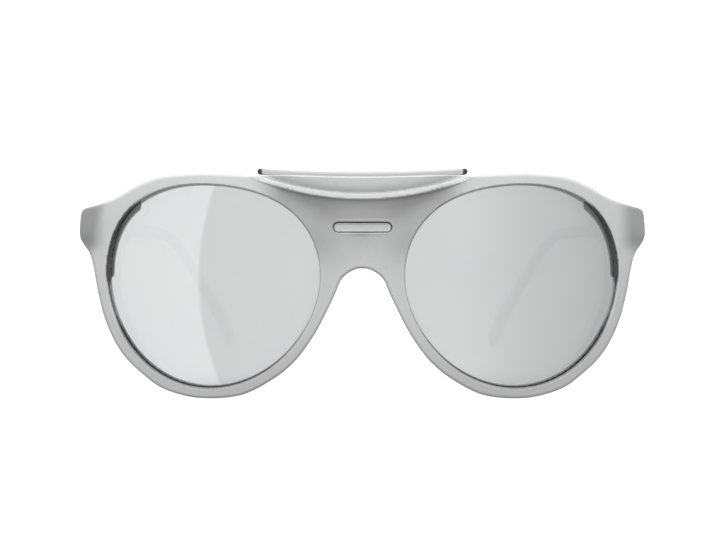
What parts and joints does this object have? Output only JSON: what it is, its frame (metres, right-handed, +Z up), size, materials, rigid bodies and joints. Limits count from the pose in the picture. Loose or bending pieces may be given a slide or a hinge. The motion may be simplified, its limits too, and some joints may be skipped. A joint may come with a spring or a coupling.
{
  "type": "cycling sunglasses",
  "caption": "Round-lens wrap sunglasses with a scooped brow, a thin brow bar, vented mirrored lenses and folding temples with soft bendable tips.",
  "frame": {"origin": "centre of the footprint, on the surface that the open sunglasses stand on", "axes": "+X towards the wearer's left, +Y back along the temples, +Z up; the front faces -Y"},
  "size_m": [0.1506, 0.1362, 0.0597],
  "materials": {
    "frame": "moulded front, satin silver-grey metallic paint",
    "brow_bar": "satin round bar with darker rounded ends",
    "bridge_plate": "polished plate, bare",
    "lens": "light silver mirror coating, slightly see-through",
    "nose_pad": "soft matte grey",
    "hinge_leaf": "satin stamped metal",
    "screw": "turned, slotted heads",
    "temple": "moulded arm, satin silver-grey metallic paint",
    "core_wire": "drawn wire",
    "temple_tip": "soft matte grey sleeve"
  },
  "bodies": {
    "front": {"front_frame": "frame", "brow_bar": "brow_bar", "bridge_plate": "bridge_plate", "lens_right": "lens", "lens_left": "lens", "nose_pad_right": "nose_pad", "nose_pad_left": "nose_pad", "hinge_front_leaf_right": "hinge_leaf", "hinge_front_leaf_left": "hinge_leaf", "front_leaf_screws_right": "screw", "front_leaf_screws_left": "screw", "hinge_screw_right": "screw", "hinge_screw_left": "screw"},
    "right_temple": {"hinge_temple_leaf_right": "hinge_leaf", "temple_leaf_screws_right": "screw", "temple_right": "temple", "temple_core_wire_right": "core_wire", "temple_tip_right": "temple_tip"},
    "left_temple": {"hinge_temple_leaf_left": "hinge_leaf", "temple_leaf_screws_left": "screw", "temple_left": "temple", "temple_core_wire_left": "core_wire", "temple_tip_left": "temple_tip"}
  },
  "joints": [
    {"name": "left_temple_fold", "type": "hinge", "parent": "front", "child": "left_temple", "pos_m": [0.0659, -0.043, 0.0442], "axis": [0, 0, 1], "range_deg": [0, 84]},
    {"name": "right_temple_fold", "type": "hinge", "parent": "front", "child": "right_temple", "pos_m": [-0.0659, -0.043, 0.0442], "axis": [0, 0, -1], "range_deg": [0, 79]}
  ]
}
